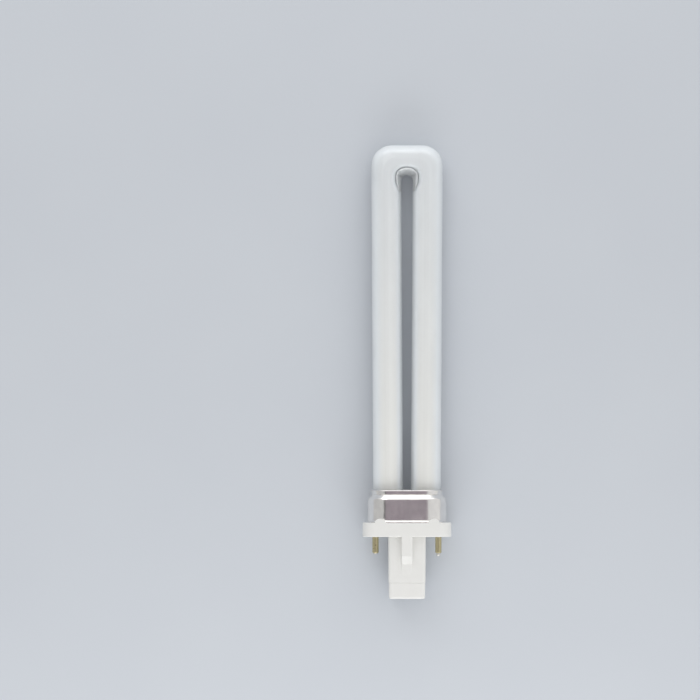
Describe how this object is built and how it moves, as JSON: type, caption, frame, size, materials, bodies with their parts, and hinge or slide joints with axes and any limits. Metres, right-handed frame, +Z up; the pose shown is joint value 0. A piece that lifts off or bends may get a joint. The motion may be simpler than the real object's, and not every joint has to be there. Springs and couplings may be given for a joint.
{
  "type": "plug-in fluorescent insect trap lamp",
  "caption": "Folded white fluorescent tube in a plug-in base with a metal collar, contact pins and a hollow key.",
  "frame": {"origin": "centre of the lamp's box, on the surface that it lies on", "axes": "+Y along the lamp towards the glass bend, +X across the contact pins, +Z up from the surface through the lamp's front"},
  "size_m": [0.0324, 0.1659, 0.0184],
  "materials": {
    "coated_glass": "clear glass over an opaque white coating",
    "collar_aluminium": "bright drawn sheet",
    "cement": "matt set cement",
    "white_moulding": "satin moulded",
    "pin_brass": "drawn, slightly dull",
    "solder": "tinned, satin",
    "starter_glass": "clear blown glass",
    "capacitor_coating": "dipped",
    "lead_wire": "nickel-plated wire",
    "splice_metal": "tinned, crimped"
  },
  "bodies": {
    "root": {"glass_tube": "coated_glass", "metal_collar": "collar_aluminium", "cement_fill": "cement", "base_moulding": "white_moulding", "key_end_cap": "white_moulding", "starter_bottle": "starter_glass", "suppression_capacitor": "capacitor_coating", "contact_pin_left": "pin_brass", "pin_solder_left": "solder", "pin_lead_left": "lead_wire", "tube_feed_left": "lead_wire", "bottle_lead_left": "lead_wire", "capacitor_lead_left": "lead_wire", "lead_splice_left": "splice_metal", "contact_pin_right": "pin_brass", "pin_solder_right": "solder", "pin_lead_right": "lead_wire", "tube_feed_right": "lead_wire", "bottle_lead_right": "lead_wire", "capacitor_lead_right": "lead_wire", "lead_splice_right": "splice_metal"}
  },
  "joints": []
}
